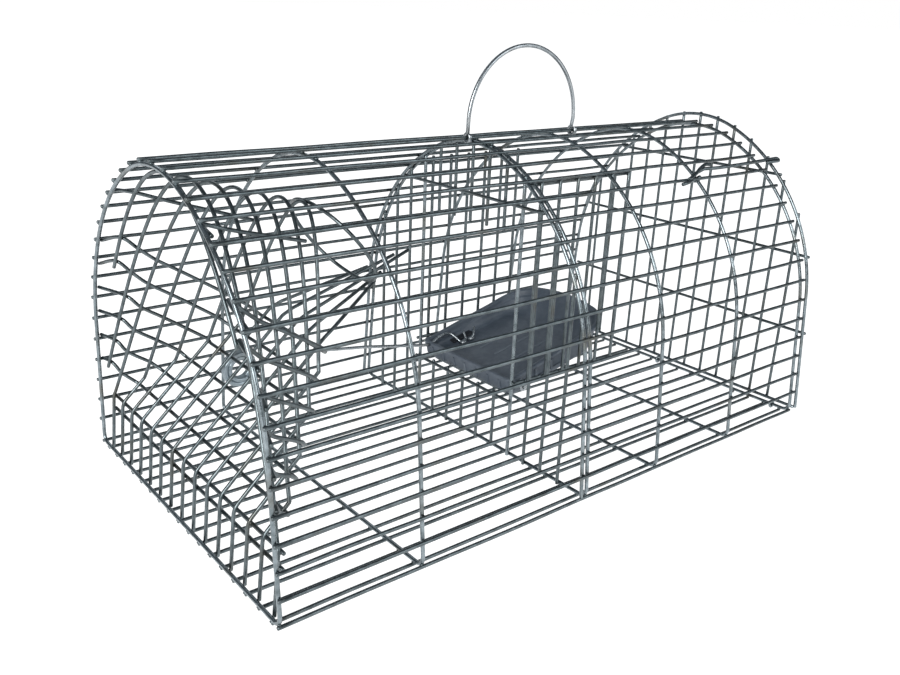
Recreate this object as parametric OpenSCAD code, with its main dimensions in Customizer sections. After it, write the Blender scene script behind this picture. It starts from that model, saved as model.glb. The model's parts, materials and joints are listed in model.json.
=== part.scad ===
// Live catch trap: a half-round wire cage with a funnel entrance, a tilting tray, a rear door and a handle.
// X runs along the cage from the entrance to the rear door, Y runs across it, Z is up, all in mm.

/* [Cage] */
// Length from the first hoop to the last, wire centre to wire centre
cage_length = 400; // [300:5:600]
// Width across the hoop legs at the floor, wire centre to wire centre
cage_width = 219; // [170:1:300]
// Height of the hoops above the floor wires, wire centre to wire centre
cage_height = 184; // [140:1:260]
// Spaces between the lengthwise wires from the ridge down to each floor edge
side_spaces = 18; // [8:1:24]
// Lengthwise wires across the floor
floor_wires = 17; // [7:2:21]

/* [Wires] */
// Diameter of the mesh wires
wire_d = 2; // [1.6:0.1:2.6]
// Diameter of the hoops and rims
hoop_d = 2.2; // [1.8:0.1:3]
// Diameter of the carry handle wire
handle_d = 2.4; // [2:0.1:4]

/* [Entrance funnel] */
// Arched wires that nest inside each other, from the mouth to the throat
funnel_arches = 7; // [5:1:9]
// Gap between the funnel mouth's outer wires and the hoop legs at the floor
mouth_gap = 9.5; // [6:0.5:20]
// Height of the upright sill below the ramp
sill_height = 32; // [20:1:50]
// Distance from the mouth to the throat along the ramp
funnel_depth = 83; // [60:1:110]
// Rise of the ramp from the sill to the throat
ramp_rise = 78; // [50:1:90]

/* [Partition and guard] */
// Place of the partition as a share of the cage length
partition_place = 0.4835; // [0.4:0.0005:0.6]
// Width of the doorway, post centre to post centre
doorway_width = 90; // [70:1:120]
// Height of the doorway sill above the floor wires
doorway_sill = 36; // [25:1:50]
// Drop of the upper cross wire below the top of the hoops
tie_drop = 30; // [20:1:36]
// How far the hanging wires reach below the upper cross wire
hanging_drop = 17; // [8:1:30]
// How far the guard panels run past the tray
guard_past = 3; // [0:1:20]

/* [Tilting tray] */
// Length of the tray along its floor
tray_length = 79; // [60:1:100]
// Tilt of the tray at rest
tray_tilt = 12.3; // [5:0.1:20]
// Thickness of the tray floor and walls
tray_wall = 2.4; // [1.5:0.1:4]
// Outer diameter of the counterweight ring
weight_d = 22; // [16:1:30]

/* [Door, latch and handle] */
// How far the door rim stands outside the hoop outline
door_overlap = 2; // [1:0.1:6]
// How far the door rim is raised above the hoop outline
door_lift = 5; // [0:0.5:8]
// Upright wires in the door
door_uprights = 13; // [7:2:17]
// Span of the carry handle, foot to foot
handle_span = 86; // [70:1:120]
// Length of the handle's straight legs, from the ridge wire up to the bow
handle_leg = 8; // [5:1:40]

/* [Hidden] */
$fn = 48;
// depth by which crossing wires sink into each other where they are welded
bite = 0.06;
// how far lengthwise wires run past the end hoops
overhang = 1.5;
floor_overhang = 0.6;
r_wire = wire_d / 2;
r_hoop = hoop_d / 2;
// distance between the axes of a mesh wire and a hoop, and of two mesh wires, at a weld
weld = r_wire + r_hoop - bite;
mesh_weld = wire_d - bite;
// distances from the last hoop to the door rim and the door's outer face, and reach of the latch
door_gap_x = overhang + r_hoop + 0.6;
door_face = door_gap_x + weld + mesh_weld + r_wire;
hook_gap = 1.42;
latch_reach = door_face + hook_gap + wire_d;
// height of the hoops' floor wires
floor_z = wire_d + r_hoop - bite;
front_x = -(cage_length + latch_reach - overhang) / 2;
rear_x = front_x + cage_length;
hoop_shares = [0, 0.195, partition_place, 0.637, 0.818, 1];
// distance from the floor edge to the outermost upright of the partition and of the door
edge_gap = 21.3;

// outline of a hoop: floor wire, rounded corner, leaning leg, side arc and top arc
lean = 4.9;
shoulder = 67.7;
corner_r = 5;
half_w = cage_width / 2;
leg_h = cage_height * 0.418;
leg_y = half_w - leg_h * tan(lean);
arc_k = (1 - sin(shoulder)) / cos(shoulder);
side_r = (cage_height - leg_h - leg_y * arc_k) / (1 - sin(lean) - cos(lean) * arc_k);
side_y = leg_y - side_r * cos(lean);
side_z = leg_h - side_r * sin(lean);
top_r = side_r + side_y / cos(shoulder);
top_z = side_z - side_y * tan(shoulder);
corner_y = half_w - corner_r * (1 + sin(lean)) / cos(lean);
corner_top = corner_r * (1 + sin(lean));
top_len = top_r * (90 - shoulder) * PI / 180;
side_len = side_r * (shoulder - lean) * PI / 180;
leg_len = (leg_h - corner_top) / cos(lean);
leg_end = top_len + side_len + leg_len;
// the lowest lengthwise wire lies halfway round the corner
outline_len = leg_end + corner_r * (lean + 45) * PI / 180;

// angle of the outward normal at a distance s down the outline from the ridge
function normal_at(s) = s < top_len ? 90 - s / top_r * 180 / PI
    : s < top_len + side_len ? shoulder - (s - top_len) / side_r * 180 / PI
    : s < leg_end ? lean : lean - (s - leg_end) / corner_r * 180 / PI;
// point [y, z] at distance s down the outline and at offset o outside it
function outline_at(s, o) = let (a = normal_at(s), t = s - top_len - side_len)
    s < top_len ? [(top_r + o) * cos(a), top_z + (top_r + o) * sin(a)]
    : t < 0 ? [side_y + (side_r + o) * cos(a), side_z + (side_r + o) * sin(a)]
    : s > leg_end ? [corner_y + (corner_r + o) * cos(a), corner_r + (corner_r + o) * sin(a)]
    : [leg_y + t * sin(lean) + o * cos(lean), leg_h - t * cos(lean) + o * sin(lean)];
// height of the outline grown by o at a distance y from the middle
function height_at(y, o) = abs(y) < (top_r + o) * cos(shoulder)
    ? top_z + sqrt(pow(top_r + o, 2) - y * y)
    : side_z + sqrt(max(0, pow(side_r + o, 2) - pow(abs(y) - side_y, 2)));
// half width of the outline grown by o at a height z
function half_at(z, o) = z < leg_h ? half_w - z * tan(lean) + o / cos(lean)
    : z < side_z + (side_r + o) * sin(shoulder) ? side_y + sqrt(pow(side_r + o, 2) - pow(z - side_z, 2))
    : sqrt(max(0, pow(top_r + o, 2) - pow(z - top_z, 2)));

function unit(v) = v / norm(v);

// straight wire from p to q
module rod(p, q, d) {
    v = q - p;
    translate(p) rotate([0, acos(v[2] / norm(v)), atan2(v[1], v[0])]) cylinder(h = norm(v), d = d);
}
// wire of diameter d swept along the points p, whose ends join when it is closed
sweep_sides = 8;
function tangent(p, i, closed) = let (n = len(p)) closed ? unit(p[(i + 1) % n] - p[(i + n - 1) % n])
    : unit(p[min(i + 1, n - 1)] - p[max(i - 1, 0)]);
function across(t) = unit(cross(t, abs(t[0]) > 0.9 ? [0, 0, 1] : [1, 0, 0]));
module swept(p, d, closed = false) {
    n = len(p);
    sides = [0:sweep_sides - 1];
    rings = [for (i = [0:n - 1]) let (t = tangent(p, i, closed), u = across(t), v = cross(t, u))
        for (k = sides) let (turn = k * 360 / sweep_sides) p[i] + d / 2 * (u * cos(turn) + v * sin(turn))];
    ends = [[for (k = sides) k], [for (k = sides) n * sweep_sides - 1 - k]];
    skin = [for (i = [0:closed ? n - 1 : n - 2]) for (k = sides)
        let (m = (k + 1) % sweep_sides, a = i * sweep_sides, b = (i + 1) % n * sweep_sides)
        each [[a + k, b + k, b + m], [a + k, b + m, a + m]]];
    polyhedron(points = rings, faces = concat(closed ? [] : ends, skin));
}
function reversed(p) = [for (i = [len(p) - 1:-1:0]) p[i]];
function mirrored(p) = [for (q = p) [-q[0], q[1]]];
// half of the outline grown by o, from the ridge down to the leg's end, two steps to each lengthwise wire
function outline_half(o) = concat([for (i = [0:2 * side_spaces])
    let (s = outline_len * i / side_spaces / 2) if (s < leg_end - 1) outline_at(s, o)],
    [outline_at(leg_end, o)]);
// arch of wire that follows the outline grown by o, standing on feet at height foot_z
function arch_outline(o, foot_z) = let (h = concat(outline_half(o), [[half_at(foot_z, o), foot_z]]))
    concat(reversed(h), [for (i = [1:len(h) - 1]) mirrored(h)[i]]);
module arch(x, o, foot_z, lift = 0)
    swept([for (q = arch_outline(o, foot_z - lift)) [x, q[0], floor_z + lift + q[1]]], hoop_d);
// closed hoop: an arch with rounded corners and a floor wire
corner_points = [for (a = [lean - (lean + 45) / 2, -45, -67.5, -90])
    [corner_y + corner_r * cos(a), corner_r + corner_r * sin(a)]];
hoop_outline = let (h = concat(outline_half(0), corner_points))
    concat(h, [for (i = [len(h) - 1:-1:1]) mirrored(h)[i]]);
module hoop(x) swept([for (q = hoop_outline) [x, q[0], floor_z + q[1]]], hoop_d, true);
// closed ring of wire about the Y axis
module ring(p, r, d) translate(p) rotate([90, 0, 0])
    rotate_extrude($fn = 72) translate([r, 0]) circle(d = d, $fn = 24);

// entrance funnel: arch k of the nest leaves the ramp at its crease and leans back to the ridge line
mouth_x = front_x + weld;
knee_x = mouth_x + 3;
arch_step = funnel_depth / (funnel_arches - 1);
mouth_half = half_w - mouth_gap;
function arch_y(k) = mouth_half * (1 - k / funnel_arches);
// the first arches have no ramp wires and stop short in the mouth, so their numbers are below 0
short_arches = 2;
short_back = 0.4;
function crease(k) = [knee_x + arch_step * max(k, -short_back), arch_y(k),
    floor_z + sill_height + ramp_rise * k / (funnel_arches - 1)];
last_arch = funnel_arches - 1 - short_arches;
// the ridge line is shorter than the ramp line, starts below the roof and falls towards the throat
ridge_share = 0.87;
ridge_drop = 3.5;
ridge_fall = 20.6;
function ridge(k) = [knee_x + ridge_share * arch_step * (k + short_arches), 0,
    floor_z + cage_height - ridge_drop - ridge_fall * (k + short_arches) / (funnel_arches - 1)];
// the arches have nearly straight sides and a round top
arch_peak = 2.3;
function funnel_at(k, t, side) = let (c = crease(k), r = ridge(k), u = pow(sin(t), arch_peak))
    [c[0] + (r[0] - c[0]) * u, side * c[1] * cos(t), c[2] + (r[2] - c[2]) * u];
// turn along arch k at which it stands at height z
function turn_at(k, z) = let (u = (z - crease(k)[2]) / (ridge(k)[2] - crease(k)[2]))
    asin(pow(min(1, max(0, u)), 1 / arch_peak));
// outward normal of the funnel skin at a turn t of arch k
function skin_normal(k, t) = let (a = funnel_at(k, min(t + 2, 89), 1) - funnel_at(k, max(t - 2, 1), 1),
    b = funnel_at(k + 0.5, t, 1) - funnel_at(k - 0.5, t, 1)) unit(cross(a, b));
// turns at which the bends of arch k lie, moved to the side cross wires near them so that these touch
turn_gap = 5;
function row_turns(k) = [for (j = [1:cross_rows + 1]) if (first_arch(j) >= k && last_short(j) <= k)
    turn_at(k, side_z_at(j, k))];
function arch_turns(k) = [for (t = [turn_gap:turn_gap:90 - turn_gap])
    let (near = [for (r = row_turns(k)) if (abs(r - t) <= turn_gap / 2) r]) len(near) > 0 ? near[0] : t];
// how far the funnel wires reach below the axis of the floor wires
foot_drop = 0.8;
function arch_foot(k, side) = k < 0 ? [funnel_at(k, foot_turn(k), side)]
    : concat([[mouth_x, side * arch_y(k), floor_z - foot_drop]],
        [[knee_x, side * arch_y(k), floor_z + sill_height]],
        k > 0 ? [crease(k) - [0, (1 - side) * arch_y(k), 0]] : []);
function arch_half(k, side) = concat(arch_foot(k, side),
    [for (t = arch_turns(k)) if (k >= 0 || t > foot_turn(k) + 3) funnel_at(k, t, side)]);
function arch_path(k) = concat(arch_half(k, 1), [ridge(k)], reversed(arch_half(k, -1)));

// cross wires of the funnel lie below the ramp and outside the side faces
ramp_len = norm([funnel_depth, ramp_rise]);
ramp_dir = [funnel_depth, 0, ramp_rise] / ramp_len;
ramp_down = [ramp_rise, 0, -funnel_depth] / ramp_len;
cross_gap = 14.4;
cross_rows = 6;
function cross_at(j) = [knee_x, 0, floor_z + sill_height] + ramp_dir * cross_gap * j + ramp_down * mesh_weld;
function cross_k(j) = cross_gap * j / ramp_len * (funnel_arches - 1);
// height at which side cross wire j meets arch k on its way out to the mouth; the last wire has no ramp part
side_rise = 0.49;
mouth_rise = 6;
upper_drop = 17.5;
function side_z_at(j, k) = j > cross_rows ? ridge(k)[2] - upper_drop
    : crease(cross_k(j))[2] + (cross_k(j) - k) * side_rise * arch_step;
// the shorter the arch, the fewer side cross wires reach it
long_row = 5;
function foot_row(k) = k == -1 ? 1 : long_row;
function foot_turn(k) = turn_at(k, side_z_at(foot_row(k), k) - 3);
function first_arch(j) = j > cross_rows ? last_arch - 1 : floor(cross_k(j));
function last_short(j) = j < long_row ? -1 : -short_arches;
function side_cross(j, side) = let (last = last_short(j))
    [for (k = [first_arch(j):-1:last])
        let (t = turn_at(k, side_z_at(j, k)), off = mesh_weld + (k > last ? 0 : j > long_row ? -0.15 : 0.2),
            p = funnel_at(k, t, 1) + skin_normal(k, t) * off)
        [p[0], side * p[1], p[2]]];
// the last point lies against the front hoop
function mouth_end(j, side) = let (z = j > cross_rows ? side_z_at(j, -short_arches)
        : side_z_at(j, -0.3) + mouth_rise)
    [front_x + weld, side * (half_at(z - floor_z, 0) + 0.2), z];

// the middle ramp wires carry on past the arches as a bundle of prongs that narrows to its free ends
prong_turn = crease(last_arch + 0.85) - [0, arch_y(last_arch + 0.85), 0];
prong_reach = [45, 52, 74, 67, 52];
prong_rise = 0.4;
prong_taper = 0.3;
prong_bend = 6;
function prong(i) = let (y = (i - 2) * mouth_half / funnel_arches)
    [[mouth_x, y, floor_z - foot_drop], [knee_x, y, floor_z + sill_height], prong_turn + [0, y, 0],
     prong_turn + [prong_bend, y * 0.95, prong_bend * prong_rise + 0.9],
     prong_turn + [prong_reach[i], y * prong_taper, prong_reach[i] * prong_rise + 0.6]];
// oval ring behind the throat, from the last ridge down to the middle prong
ring_top = ridge(last_arch) + [mesh_weld - 0.1, 0, 0.2];
ring_place = 40;
ring_foot = prong_turn + [ring_place, 0, ring_place * prong_rise + mesh_weld + 0.8];
ring_w = 33;
throat_ring_path = let (c = (ring_top + ring_foot) / 2, a = (ring_top - ring_foot) / 2)
    [for (t = [0:12:348]) c + a * cos(t) + [0, ring_w * sin(t), 0]];

// partition: uprights lie on the entrance side of the third hoop, cross wires and rim on their far side
part_x = front_x + cage_length * partition_place;
upright_x = part_x - weld;
bar_x = upright_x - mesh_weld;
rim_x = upright_x - weld;
post_y = doorway_width / 2;
side_uprights = 3;
upright_gap = (half_w - post_y - edge_gap) / side_uprights;
hanging = 5;
hanging_gap = doorway_width / (hanging + 1);
sill_z = floor_z + doorway_sill;
tie_z = floor_z + cage_height - tie_drop;

// guard panels beside the tray
rail_y = post_y + r_hoop + r_wire - bite;
guard_y = rail_y + mesh_weld;
pivot = [part_x + 6.1, 0, sill_z + 8];
fit_gap = 0.3;
eye_d = wire_d - 0.4;
eye_r = r_wire + fit_gap + eye_d / 2;
low_rail_z = pivot[2] + eye_r + eye_d / 2 + r_wire - bite;
rail_turn = acos((rail_y - side_y) / (side_r - weld));
high_rail_z = floor_z + side_z + (side_r - weld) * sin(rail_turn);
guard_end_x = part_x + tray_length + guard_past;
guard_uprights = 6;
guard_start_x = pivot[0] + 1;
guard_gap = (guard_end_x - guard_start_x - 1.9) / (guard_uprights - 1);
guard_hoop_x = front_x + cage_length * hoop_shares[3];
// an upright that would run into the hoop is welded to its side
function beside_hoop(x) = abs(x - guard_hoop_x) < weld ? guard_hoop_x - weld : x;

// tray, drawn flat with its front floor edge at the origin, then tilted
tray_half = post_y - 3;
tray_front = pivot + [-5.6, 0, -6];
tray_low = 10;
tray_high = 20;
tray_round = 18;
tray_lip = 6;
// the rim rises slowly to the dip, then steeply to the crest; both are shares of the tray's length
tray_dip = 0.78;
tray_crest = 0.95;
dip_rise = 3;
crest_rise = tray_high - tray_low - 2;
function corner_arc(r, w, l) = [for (a = [0:9:90]) [l - r + r * sin(a), w - r + r * cos(a)]];
function tray_outline(g) = let (h = corner_arc(tray_round - g, tray_half - g, tray_length - g))
    concat([[g, tray_half - g]], h, [for (p = reversed(h)) [p[0], -p[1]]], [[g, -(tray_half - g)]]);
// treadle arm, from the tray front out past the doorway to the counterweight
weight_r = weight_d / 2;
weight_at = [front_x + 66, 58, sill_z + 14];
arm_up = 8;
arm_start = tray_front + [0.03 - arm_up * sin(tray_tilt), tray_half - 6, arm_up * cos(tray_tilt)];
weight_face = weight_at + [weight_r - 0.12, 0, 0];
arm_path = [arm_start, arm_start + [-7, 1, 0.6], arm_start + [-14, 5, 0.6],
    [part_x - 44, weight_at[1] - 9, pivot[2] + 5], [part_x - 77, weight_at[1] - 1, weight_at[2] + 0.6],
    weight_face + [14, 0, 0], weight_face];

// rear door on rings about the last hoop's floor wire
door_x = rear_x + door_gap_x;
door_wire_x = door_x + weld;
door_bar_x = door_wire_x + mesh_weld;
hinge_wire_d = wire_d - 0.4;
hinge_r = r_hoop + 0.25 + hinge_wire_d / 2;
rail_arm = hinge_r + hinge_wire_d / 2 + r_hoop - bite;
door_rail_z = floor_z + sqrt(pow(rail_arm, 2) - pow(door_x - rear_x, 2));
door_gap = 2 * (half_w - edge_gap) / (door_uprights - 1);
door_bars = [0.3, 0.585, 0.86];
floor_gap = 2 * (corner_y - 2) / (floor_wires - 1);
hinge_places = [-7.5, 0.5, 7.5];

// latch on a ring about the fifth hoop, lying along the roof over the door rim
latch_x = front_x + cage_length * hoop_shares[4];
// the latch lies between two lengthwise wires, counted from the ridge
latch_row = 4.77;
latch_s = outline_len * latch_row / side_spaces;
latch_turn = normal_at(latch_s);
latch_at = [latch_x, -outline_at(latch_s, 0)[0], floor_z + outline_at(latch_s, 0)[1]];
latch_ring_r = r_hoop + fit_gap + r_wire;
latch_start = latch_ring_r + wire_d - 0.5;
latch_end = door_overlap + door_lift * sin(latch_turn) + r_hoop + r_wire + 0.9;
hook_bend = 2.5;
latch_run = rear_x + latch_reach - r_wire - hook_bend - latch_x;

// carry handle on rings about the ridge wire
ridge_z = floor_z + cage_height + weld;
handle_ring_r = r_wire + fit_gap + handle_d / 2;
handle_mid_x = rim_x - r_hoop - 0.5 - handle_d / 2 + handle_span / 2;

// lengthwise wires on the outside of the hoops between two row numbers on one side
module shell_rows(from, to, side) for (i = [from:to]) {
    p = outline_at(outline_len * i / side_spaces, weld);
    middle = [(front_x + rear_x) / 2, side * p[0], floor_z + p[1]];
    reach = [cage_length / 2 + overhang, 0, 0];
    rod(middle - reach, middle + reach, wire_d);
}
module roof_wires() color("SlateGray") {
    shell_rows(0, 5, 1);
    shell_rows(1, 5, -1);
}
module near_side_wires() color("SlateGray") shell_rows(6, side_spaces, -1);
module far_side_wires() color("SlateGray") shell_rows(6, side_spaces, 1);
module floor_line_wires() color("SlateGray") for (i = [0:floor_wires - 1]) {
    y = (i - (floor_wires - 1) / 2) * floor_gap;
    rod([front_x - floor_overhang, y, r_wire], [rear_x + floor_overhang, y, r_wire], wire_d);
}
module hoop_number(i) color("LightSlateGray") hoop(front_x + cage_length * hoop_shares[i - 1]);

// arches are numbered from the mouth, starting with the short ones
module funnel_arch(n) color("LightSteelBlue") swept(arch_path(n - 1 - short_arches), wire_d);
module funnel_middle_wire() color("LightSteelBlue") swept(prong(2), wire_d);
module funnel_prongs() color("LightSteelBlue") for (i = [0, 1, 3, 4]) swept(prong(i), wire_d);
module funnel_ramp_wires() color("SlateGray") {
    for (j = [1:cross_rows]) {
        p = cross_at(j);
        w = arch_y(cross_k(j)) + 0.6;
        rod([p[0], -w, p[2]], [p[0], w, p[2]], wire_d);
    }
    for (z = [23, sill_height - 1]) {
        x = mouth_x + (knee_x - mouth_x) * z / sill_height + mesh_weld;
        rod([x, -mouth_half - 2, floor_z + z], [x, mouth_half + 2, floor_z + z], wire_d);
    }
}
module funnel_side_wires() color("SlateGray")
    for (j = [1:cross_rows + 1]) for (side = [-1, 1])
        swept(concat(side_cross(j, side), [mouth_end(j, side)]), wire_d);
module throat_ring() color("LightSteelBlue") swept(throat_ring_path, wire_d, true);

module partition_rim() color("LightSlateGray") arch(rim_x, 0, 1);
// upright wire of the partition between two heights
module upright(y, bottom, top, d) rod([upright_x, y, bottom], [upright_x, y, top], d);
module partition_posts() color("LightSlateGray") for (side = [-1, 1])
    upright(side * post_y, floor_z - 0.6, floor_z + height_at(post_y, 0) + 1, hoop_d);
module partition_uprights() color("LightSlateGray") {
    for (side = [-1, 1]) for (i = [1:side_uprights]) {
        y = post_y + i * upright_gap;
        upright(side * y, floor_z - 0.6, floor_z + height_at(y, 0) + 1, wire_d);
    }
    for (i = [0:hanging - 1]) {
        y = (i - (hanging - 1) / 2) * hanging_gap;
        upright(y, tie_z - hanging_drop, floor_z + height_at(y, 0) + 1, wire_d);
        upright(y, floor_z - 0.6, sill_z + 1.5, wire_d);
    }
}
module partition_bars() color("LightSlateGray") {
    w = half_at(tie_z - floor_z, 0) - r_hoop - r_wire;
    rod([bar_x, -w, tie_z], [bar_x, w, tie_z], wire_d);
    rod([bar_x, -post_y - 2, sill_z], [bar_x, post_y + 2, sill_z], wire_d);
}
module guard_rails(side) color("LightSlateGray") {
    for (z = [low_rail_z, high_rail_z])
        rod([upright_x - r_hoop - 0.4, side * rail_y, z], [guard_end_x, side * rail_y, z], wire_d);
}
module guard_wires(side) color("LightSlateGray") for (i = [0:guard_uprights - 1]) {
    x = beside_hoop(guard_start_x + i * guard_gap);
    rod([x, side * guard_y, low_rail_z - 1.5], [x, side * guard_y, high_rail_z + 1.5], wire_d);
}
module pivot_eyes() color("SteelBlue") for (side = [-1, 1])
    ring(pivot + [0, side * rail_y, 0], eye_r, eye_d);

module treadle_tray() color("DimGray") translate(tray_front) rotate([0, -tray_tilt, 0]) difference() {
    linear_extrude(tray_high) polygon(tray_outline(0));
    translate([0, 0, tray_wall]) linear_extrude(tray_high) polygon(tray_outline(tray_wall));
    translate([0, tray_half + 1, tray_low]) rotate([90, 0, 0]) linear_extrude(2 * tray_half + 2)
        polygon([[-1, 0], [tray_lip, 0], [tray_length * tray_dip, dip_rise],
            [tray_length * tray_crest, crest_rise], [tray_length + 1, crest_rise + 2],
            [tray_length + 1, tray_high], [-1, tray_high]]);
}
module treadle_pins() color("SteelBlue") for (side = [-1, 1])
    rod(pivot + [0, side * tray_half, 0], pivot + [0, side * (rail_y + 1.2), 0], wire_d);
module treadle_arm() color("LightSteelBlue") swept(arm_path, wire_d);
module counterweight() color("SlateGray") translate(weight_at) rotate([90, 0, 0]) difference() {
    cylinder(h = 7, r = weight_r, center = true);
    cylinder(h = 9, r = weight_r * 0.52, center = true);
}

module door_rim() color("LightSlateGray")
    arch(door_x, door_overlap, door_rail_z - floor_z, door_lift);
module door_rail() color("LightSlateGray") {
    w = half_at(door_rail_z - floor_z - door_lift, door_overlap) - r_hoop + bite;
    rod([door_x, -w, door_rail_z], [door_x, w, door_rail_z], hoop_d);
}
module door_upright_wires() color("SlateGray") for (i = [0:door_uprights - 1]) {
    y = (i - (door_uprights - 1) / 2) * door_gap;
    top = floor_z + door_lift + height_at(y, door_overlap) + 1.5;
    rod([door_wire_x, y, door_rail_z - 1.5], [door_wire_x, y, top], wire_d);
}
module door_cross_wires() color("SlateGray") for (share = door_bars) {
    z = cage_height * share;
    w = half_at(z - door_lift, door_overlap) + 0.3;
    rod([door_bar_x, -w, floor_z + z], [door_bar_x, w, floor_z + z], wire_d);
}
module door_hinge_rings() color("SteelBlue") for (i = hinge_places)
    ring([rear_x, i * floor_gap, floor_z], hinge_r, hinge_wire_d);

module door_latch() color("LightSteelBlue") translate(latch_at) rotate([90 - latch_turn, 0, 0]) {
    ring([0, 0, 0], latch_ring_r, wire_d);
    rod([-3, 0, latch_start], [latch_run, 0, latch_end], wire_d);
    translate([latch_run, 0, latch_end - hook_bend]) rotate([-90, 0, 0]) rotate([0, 0, -90])
        rotate_extrude(angle = 90) translate([hook_bend, 0]) circle(d = wire_d, $fn = 24);
}
module carry_handle() color("Silver") translate([handle_mid_x, 0, ridge_z]) {
    half = handle_span / 2;
    for (side = [-1, 1]) translate([side * half, 0, 0]) {
        rotate([90, 0, 90]) rotate_extrude($fn = 72)
            translate([handle_ring_r, 0]) circle(d = handle_d, $fn = 24);
        rod([0, 0, handle_ring_r], [0, 0, handle_leg], handle_d);
    }
    translate([0, 0, handle_leg]) rotate([90, 0, 0])
        rotate_extrude(angle = 180, $fn = 96) translate([half, 0]) circle(d = handle_d, $fn = 24);
}

roof_wires();
near_side_wires();
far_side_wires();
floor_line_wires();
hoop_number(1);  // hoop_1
hoop_number(2);  // hoop_2
hoop_number(3);  // hoop_3
hoop_number(4);  // hoop_4
hoop_number(5);  // hoop_5
hoop_number(6);  // hoop_6
funnel_arch(1);  // funnel_arch_1
funnel_arch(2);  // funnel_arch_2
funnel_arch(3);  // funnel_arch_3
funnel_arch(4);  // funnel_arch_4
funnel_arch(5);  // funnel_arch_5
funnel_arch(6);  // funnel_arch_6
funnel_arch(7);  // funnel_arch_7
funnel_middle_wire();
funnel_prongs();
funnel_ramp_wires();
funnel_side_wires();
throat_ring();
partition_rim();
partition_posts();
partition_uprights();
partition_bars();
guard_rails(-1);  // near_guard_rails
guard_rails(1);  // far_guard_rails
guard_wires(-1);  // near_guard_wires
guard_wires(1);  // far_guard_wires
pivot_eyes();
treadle_tray();
treadle_pins();
treadle_arm();
counterweight();
door_rim();
door_rail();
door_upright_wires();
door_cross_wires();
door_hinge_rings();
door_latch();
carry_handle();
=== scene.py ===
"""Looks of the live catch trap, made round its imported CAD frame.

Lengths are in millimetres up to the mesh builders, which turn them into the frame's metres. The straight
wires take their ends from the CAD nodes. The bent ones follow the same rules as the CAD, with rounder bends,
cut ends and weld nuggets, and each piece stands for the CAD node that it follows.
"""
import json
import math
import random

import bmesh
import bpy
import numpy as np
from mathutils import Matrix, Vector


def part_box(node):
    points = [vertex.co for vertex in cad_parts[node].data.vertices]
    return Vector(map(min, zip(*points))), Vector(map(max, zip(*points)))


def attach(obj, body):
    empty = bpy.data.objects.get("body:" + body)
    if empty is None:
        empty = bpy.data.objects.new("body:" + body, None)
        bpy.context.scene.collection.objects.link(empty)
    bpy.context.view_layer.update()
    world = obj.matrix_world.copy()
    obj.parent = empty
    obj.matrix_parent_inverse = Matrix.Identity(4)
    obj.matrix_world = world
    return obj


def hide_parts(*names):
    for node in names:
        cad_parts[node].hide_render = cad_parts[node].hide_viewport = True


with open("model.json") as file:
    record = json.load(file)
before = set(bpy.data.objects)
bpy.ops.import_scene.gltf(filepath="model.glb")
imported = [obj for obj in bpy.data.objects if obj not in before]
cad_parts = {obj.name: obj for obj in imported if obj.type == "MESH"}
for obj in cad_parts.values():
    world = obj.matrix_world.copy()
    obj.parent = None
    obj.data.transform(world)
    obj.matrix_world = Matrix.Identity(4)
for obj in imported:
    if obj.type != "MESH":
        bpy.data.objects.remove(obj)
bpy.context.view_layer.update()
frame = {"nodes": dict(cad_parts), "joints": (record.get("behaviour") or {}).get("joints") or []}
MM = 0.001


def sin(degrees):
    return math.sin(math.radians(degrees))


def cos(degrees):
    return math.cos(math.radians(degrees))


def middle(node):
    """Centre of a CAD node's box, in mm."""
    low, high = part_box(node)
    return (low + high) / 2 / MM


def joint_at(name):
    """Place of a joint, in mm."""
    joint = next(j for j in frame["joints"] if j["name"] == name)
    return Vector(joint["pos_m"]) / MM


# ---------------------------------------------------------------- sizes, as in the CAD

WIRE, HOOP, HANDLE = 2.0, 2.2, 2.4
BITE = 0.06
WELD = (WIRE + HOOP) / 2 - BITE
MESH_WELD = WIRE - BITE
OVERHANG = 1.5
FLOOR_Z = WIRE + HOOP / 2 - BITE
HALF_WIDTH, HEIGHT = 109.5, 184.0
HOOP_X = [middle(f"hoop_{i}").x for i in range(1, 7)]
FRONT_X = HOOP_X[0]

# a hoop's outline: rounded corner, leaning leg, side arc and top arc
LEAN, SHOULDER, CORNER = 4.9, 67.7, 5.0
LEG_SHARE = 0.418
LEG_H = HEIGHT * LEG_SHARE
LEG_Y = HALF_WIDTH - LEG_H * sin(LEAN) / cos(LEAN)
ARC = (1 - sin(SHOULDER)) / cos(SHOULDER)
SIDE_R = (HEIGHT - LEG_H - LEG_Y * ARC) / (1 - sin(LEAN) - cos(LEAN) * ARC)
SIDE_Y, SIDE_Z = LEG_Y - SIDE_R * cos(LEAN), LEG_H - SIDE_R * sin(LEAN)
TOP_R = SIDE_R + SIDE_Y / cos(SHOULDER)
TOP_Z = SIDE_Z - SIDE_Y * sin(SHOULDER) / cos(SHOULDER)
CORNER_Y = HALF_WIDTH - CORNER * (1 + sin(LEAN)) / cos(LEAN)
TOP_LEN = math.radians(90 - SHOULDER) * TOP_R
SIDE_LEN = math.radians(SHOULDER - LEAN) * SIDE_R
LEG_END = TOP_LEN + SIDE_LEN + (LEG_H - CORNER * (1 + sin(LEAN))) / cos(LEAN)
# the lowest lengthwise wire lies halfway round the corner, and the wires are evenly spaced from there up
OUTLINE_LEN = LEG_END + CORNER * math.radians(LEAN + 45)
SIDE_SPACES = 18


def normal_at(s):
    """Angle of the outward normal at a distance s down the outline from the ridge."""
    if s < TOP_LEN:
        return 90 - math.degrees(s / TOP_R)
    if s < TOP_LEN + SIDE_LEN:
        return SHOULDER - math.degrees((s - TOP_LEN) / SIDE_R)
    return LEAN if s < LEG_END else LEAN - math.degrees((s - LEG_END) / CORNER)


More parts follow.
